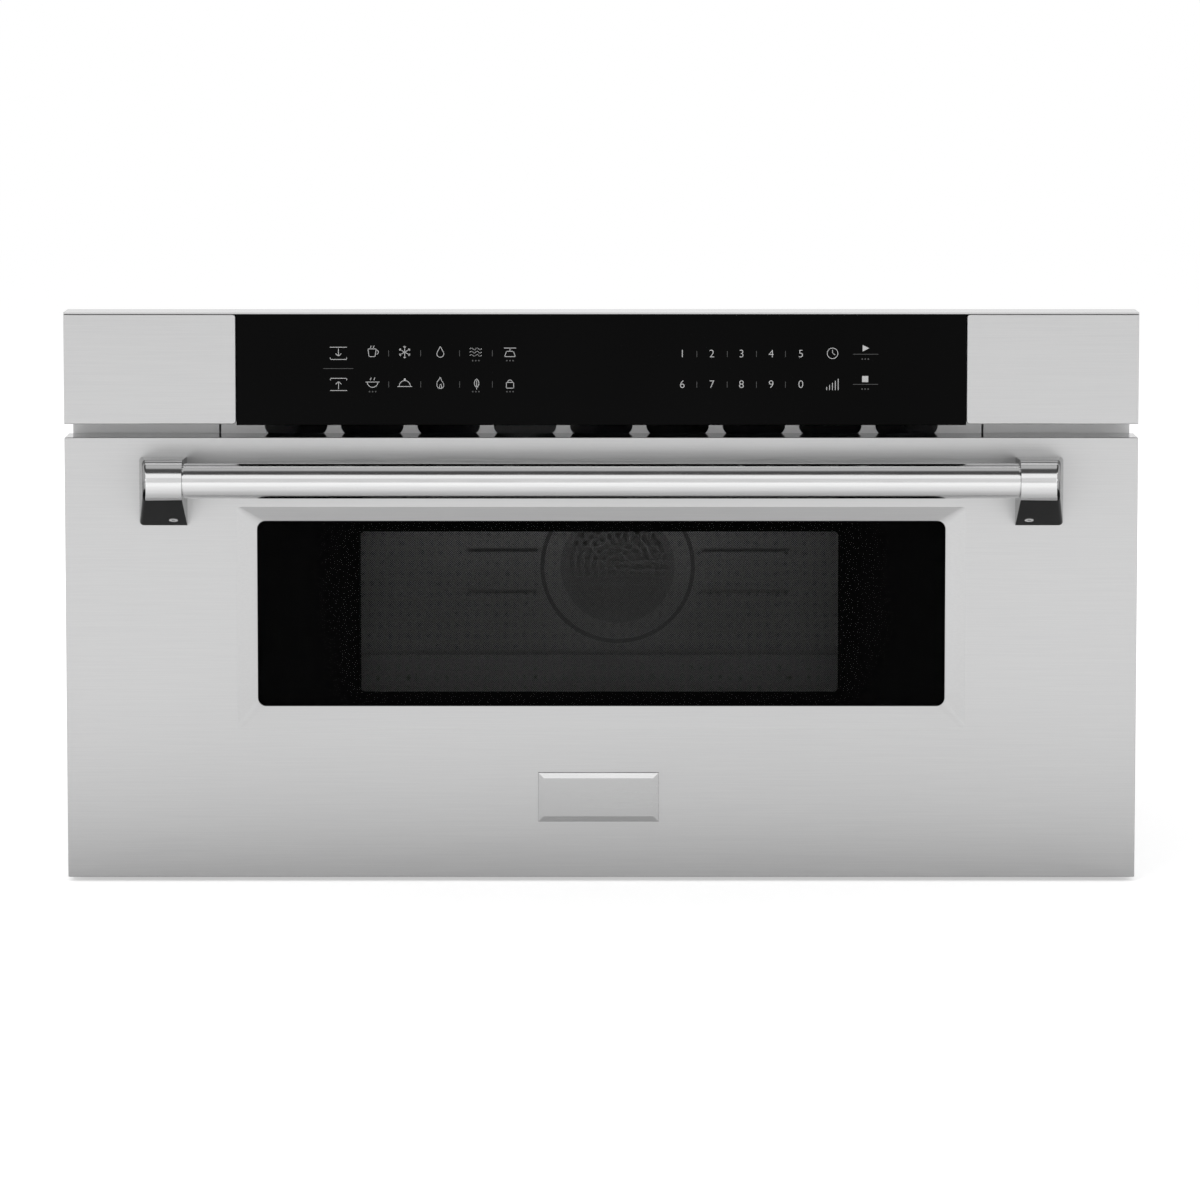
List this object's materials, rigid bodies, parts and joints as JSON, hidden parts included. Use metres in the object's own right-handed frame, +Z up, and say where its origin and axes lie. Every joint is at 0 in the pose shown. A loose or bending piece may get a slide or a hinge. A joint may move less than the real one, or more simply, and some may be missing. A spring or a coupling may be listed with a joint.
{
  "type": "microwave drawer",
  "caption": "Built-in microwave drawer: steel front with window and bar handle under a black glass control panel, on telescopic rails in a sheet-steel chassis.",
  "frame": {"origin": "middle of the chassis base's underside, the face that rests in the cabinet", "axes": "+X to the user's right along the front, +Y to the rear wall, +Z up; the drawer opens along -Y"},
  "size_m": [0.762, 0.6765, 0.4075],
  "materials": {
    "brushed_front": "brushed",
    "handle_steel": "satin",
    "badge_steel": "satin",
    "screw_steel": "polished",
    "control_glass": "gloss, printed black behind",
    "window_glass": "gloss, tinted",
    "screen_black": "matt black, perforated",
    "galvanised": "galvanised",
    "front_strip": "satin grey",
    "cavity_coat": "satin",
    "tub_steel": "satin",
    "back_coat": "satin grey",
    "choke_plastic": "fine texture",
    "ceramic_floor": "glazed ceramic",
    "rail_zinc": "zinc plated",
    "gear_acetal": "moulded",
    "motor_steel": "plated",
    "dark_plastic": "moulded",
    "board_green": "solder resist",
    "display_dark": "gloss",
    "fin_aluminium": "pressed",
    "core_iron": "varnished laminations",
    "mica": "mica sheet",
    "lamp_holder": "moulded"
  },
  "bodies": {
    "chassis": {"base_pan": "galvanised", "side_panel_left": "galvanised", "side_panel_right": "galvanised", "top_cover": "galvanised", "back_panel": "galvanised", "face_plate": "front_strip", "vent_louver": "front_strip", "cavity_floor": "cavity_coat", "cavity_ceiling": "cavity_coat", "cavity_side_left": "cavity_coat", "cavity_side_right": "cavity_coat", "cavity_rear_wall": "cavity_coat", "waveguide": "galvanised", "stirrer_cover": "mica", "stirrer_motor": "motor_steel", "magnetron": "fin_aluminium", "cavity_lamp": "lamp_holder", "fan_shroud": "dark_plastic", "fan_motor": "motor_steel", "hv_transformer": "core_iron", "hv_capacitor": "fin_aluminium", "power_board": "board_green", "cord_gland": "dark_plastic", "interlock_switches": "dark_plastic", "rail_bracket_left": "galvanised", "rail_bracket_right": "galvanised", "outer_rail_left": "rail_zinc", "outer_rail_right": "rail_zinc", "drive_bracket": "galvanised", "drive_motor": "motor_steel", "control_housing": "dark_plastic", "control_glass": "control_glass", "control_board": "board_green", "display_module": "display_dark", "panel_cap_left": "brushed_front", "panel_cap_right": "brushed_front", "panel_top_strip": "brushed_front", "chassis_screws": "screw_steel"},
    "drawer": {"drawer_panel": "brushed_front", "window_glass": "window_glass", "window_screen": "screen_black", "drawer_back_plate": "back_coat", "choke_frame": "choke_plastic", "badge_plate": "badge_steel", "handle_bar": "handle_steel", "handle_bracket_left": "handle_steel", "handle_bracket_right": "handle_steel", "handle_screws": "screw_steel", "drawer_tub": "tub_steel", "floor_plate": "ceramic_floor", "latch_hooks": "rail_zinc", "inner_rail_left": "rail_zinc", "inner_rail_right": "rail_zinc", "drive_rack": "gear_acetal"},
    "middle_rail_left": {"middle_rail_left": "rail_zinc"},
    "middle_rail_right": {"middle_rail_right": "rail_zinc"},
    "drive_gear": {"drive_gear": "gear_acetal"},
    "motor_gear": {"motor_gear": "gear_acetal"},
    "stirrer": {"stirrer_blade": "fin_aluminium"},
    "cooling_fan": {"fan_blade": "dark_plastic"}
  },
  "joints": [
    {"name": "drawer_slide", "type": "slide", "parent": "chassis", "child": "drawer", "axis": [0, -1, 0], "range_m": [0, 0.38]},
    {"name": "middle_rail_left_slide", "type": "slide", "parent": "chassis", "child": "middle_rail_left", "axis": [0, -1, 0], "range_m": [0, 0.19]},
    {"name": "middle_rail_right_slide", "type": "slide", "parent": "chassis", "child": "middle_rail_right", "axis": [0, -1, 0], "range_m": [0, 0.19]},
    {"name": "drive_gear_spin", "type": "hinge", "parent": "chassis", "child": "drive_gear", "pos_m": [0, -0.25, 0.046], "axis": [1, 0, 0], "range_deg": [0, 1365]},
    {"name": "motor_gear_spin", "type": "hinge", "parent": "chassis", "child": "motor_gear", "pos_m": [0.013, -0.223, 0.046], "axis": [1, 0, 0], "range_deg": [-2730, 0]},
    {"name": "stirrer_spin", "type": "hinge", "parent": "chassis", "child": "stirrer", "pos_m": [-0.06, -0.02, 0.31], "axis": [0, 0, 1], "continuous": true},
    {"name": "cooling_fan_spin", "type": "hinge", "parent": "chassis", "child": "cooling_fan", "pos_m": [-0.06, 0.272, 0.205], "axis": [0, 1, 0], "continuous": true}
  ],
  "couplings": [
    {"joint": "middle_rail_left_slide", "follows": "drawer_slide", "ratio": 0.5},
    {"joint": "middle_rail_right_slide", "follows": "drawer_slide", "ratio": 0.5},
    {"joint": "drive_gear_spin", "follows": "drawer_slide", "rad_per_m": 62.5},
    {"joint": "motor_gear_spin", "follows": "drawer_slide", "rad_per_m": -125}
  ]
}
